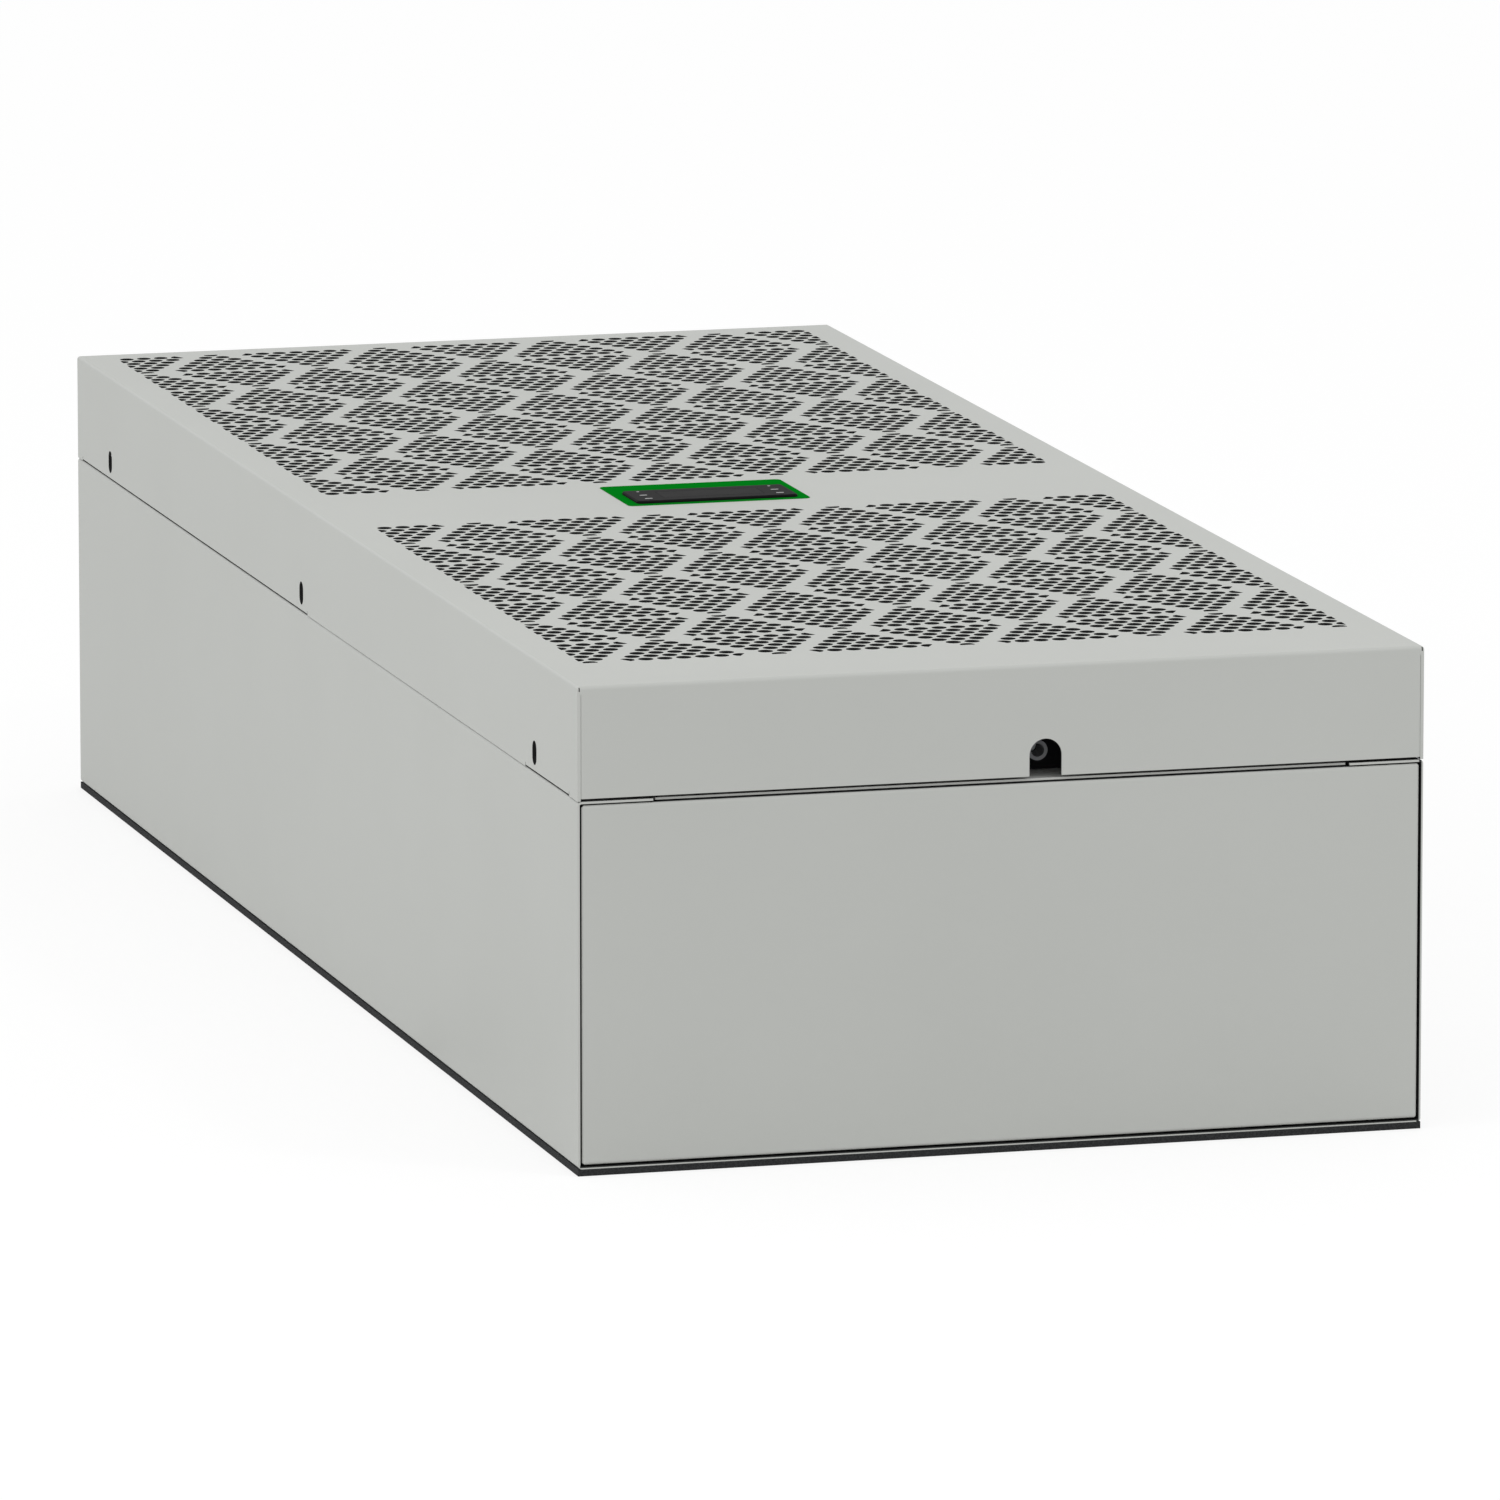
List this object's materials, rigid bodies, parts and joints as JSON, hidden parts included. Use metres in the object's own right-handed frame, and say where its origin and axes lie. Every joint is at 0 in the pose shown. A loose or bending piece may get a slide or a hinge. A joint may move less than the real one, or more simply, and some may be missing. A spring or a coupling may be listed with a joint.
{
  "type": "side-mounted enclosure cooling unit",
  "caption": "Shallow box-shaped cooling unit for the side or door of an electrical enclosure, with a perforated front hood, a small display and a foam-sealed mounting face.",
  "frame": {"origin": "centre of the mounting face, on the underside of the gasket", "axes": "+Z out of the enclosure wall towards the perforated front, +Y towards the unit's upper end, +X to the right seen from the front"},
  "size_m": [0.4, 1.002, 0.2267],
  "materials": {
    "light_grey_paint": "light grey textured powder coat",
    "galvanised": "zinc-coated sheet steel",
    "zinc_plated": "bright zinc plating",
    "gasket_foam": "black closed-cell foam strip",
    "green_label": "green printed film",
    "black_plastic": "black moulded plastic",
    "display_pane": "dark tinted pane",
    "coated_fins": "dark corrosion coating on aluminium fins",
    "bare_fins": "bare aluminium fins and copper bends",
    "black_enamel": "black enamel on the compressor",
    "grey_plastic": "grey moulded plastic"
  },
  "bodies": {
    "root": {"cover_face": "light_grey_paint", "cover_left_side": "light_grey_paint", "cover_right_side": "light_grey_paint", "cover_bottom_end": "light_grey_paint", "cover_top_end": "light_grey_paint", "housing": "light_grey_paint", "bottom_end_panel": "light_grey_paint", "top_end_panel": "light_grey_paint", "hanging_strip": "light_grey_paint", "gasket_left": "gasket_foam", "gasket_right": "gasket_foam", "gasket_bottom": "gasket_foam", "gasket_top": "gasket_foam", "left_cover_tabs": "galvanised", "right_cover_tabs": "galvanised", "label_plate": "green_label", "display_bezel": "black_plastic", "display_window": "display_pane", "controller_box": "grey_plastic", "lower_cross_plate": "light_grey_paint", "upper_cross_plate": "light_grey_paint", "centre_rail": "galvanised", "partition": "galvanised", "evaporator_coil": "bare_fins", "evaporator_fan_wheel": "black_plastic", "evaporator_fan_motor": "black_enamel", "condenser_coil": "coated_fins", "condenser_fan_plate": "galvanised", "condenser_fan_rotor": "black_plastic", "condenser_fan_motor": "black_enamel", "compressor": "black_enamel", "compressor_shelf": "galvanised", "condensate_tray": "grey_plastic", "drain_tube": "grey_plastic", "power_connector": "black_plastic", "mounting_inserts": "zinc_plated"}
  },
  "joints": []
}
